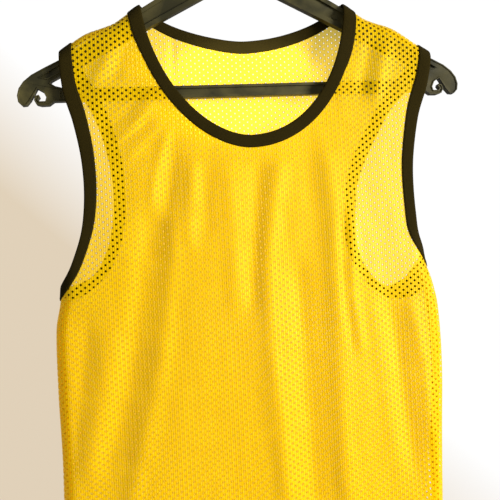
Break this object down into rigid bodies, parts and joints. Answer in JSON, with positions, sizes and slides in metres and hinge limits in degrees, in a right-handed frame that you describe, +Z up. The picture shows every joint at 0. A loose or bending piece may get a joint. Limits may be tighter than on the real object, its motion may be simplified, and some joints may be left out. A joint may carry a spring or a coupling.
{
  "type": "sleeveless mesh sports shirt on a moulded plastic hanger",
  "caption": "Sleeveless open-mesh sports shirt with round neck and taped edges, hanging on a plain moulded plastic hanger.",
  "frame": {"origin": "inside top of the hanger's hook, where a rail holds it, in the hanger's middle plane", "axes": "+Z up along the hang, +X to the right seen from the front along the hanger's bar, -Y out of the shirt's front"},
  "size_m": [0.4216, 0.0563, 0.6959],
  "materials": {
    "mesh_cloth": "polyester tricot net, satin sheen",
    "edging_tape": "matt ribbed knit tape",
    "hanger_plastic": "moulded, half matt"
  },
  "bodies": {
    "root": {"front_panel": "mesh_cloth", "back_panel": "mesh_cloth", "neck_binding": "edging_tape", "armhole_binding_wearer_right": "edging_tape", "armhole_binding_wearer_left": "edging_tape", "hanger": "hanger_plastic"}
  },
  "joints": []
}
